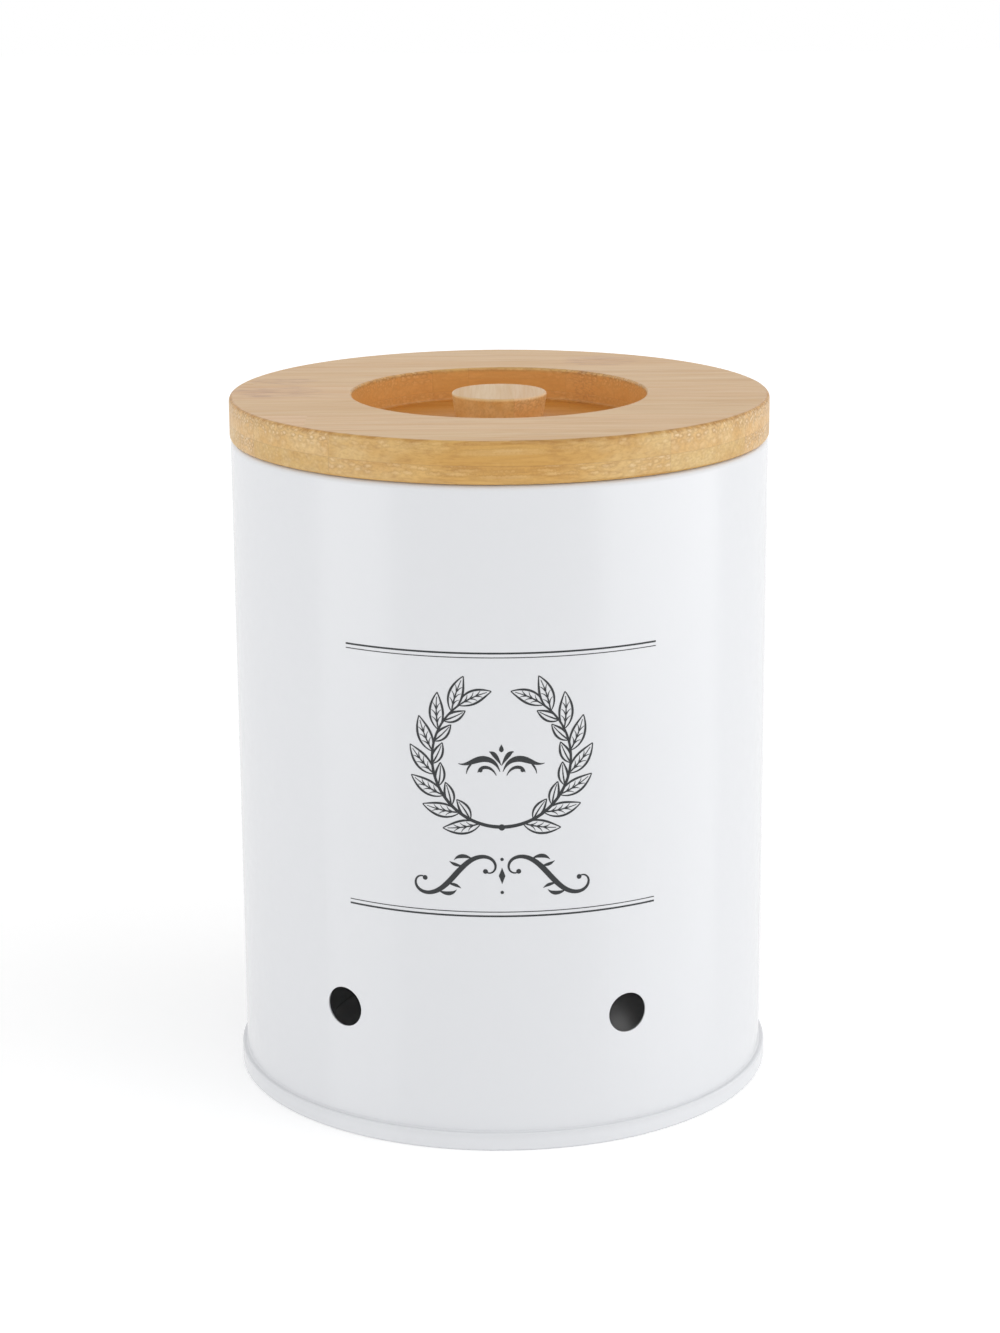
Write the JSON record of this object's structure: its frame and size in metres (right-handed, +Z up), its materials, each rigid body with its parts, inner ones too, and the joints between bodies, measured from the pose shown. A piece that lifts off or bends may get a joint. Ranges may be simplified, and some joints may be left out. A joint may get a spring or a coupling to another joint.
{
  "type": "garlic keeper",
  "caption": "Round white sheet-steel storage can with vent holes, curled rim and seamed foot, closed by a lift-off turned bamboo lid with a sunk finger knob.",
  "frame": {"origin": "centre of the bounding box on the plane that the foot ring stands on", "axes": "+Z up along the can's axis; -Y towards the printed front; +X to the right seen from the front"},
  "size_m": [0.1326, 0.1326, 0.1691],
  "materials": {
    "white_coating": "satin",
    "print_ink": "satin",
    "bamboo_board": "satin",
    "bamboo_knob": "satin",
    "zinc_screw": "satin"
  },
  "bodies": {
    "can": {"can_body": "white_coating", "can_base": "white_coating"},
    "lid": {"lid_board": "bamboo_board", "knob": "bamboo_knob", "knob_screw": "zinc_screw"}
  },
  "joints": [
    {"name": "lid_lift", "type": "slide", "parent": "can", "child": "lid", "axis": [0, 0, 1], "range_m": [0, 0.08]}
  ]
}
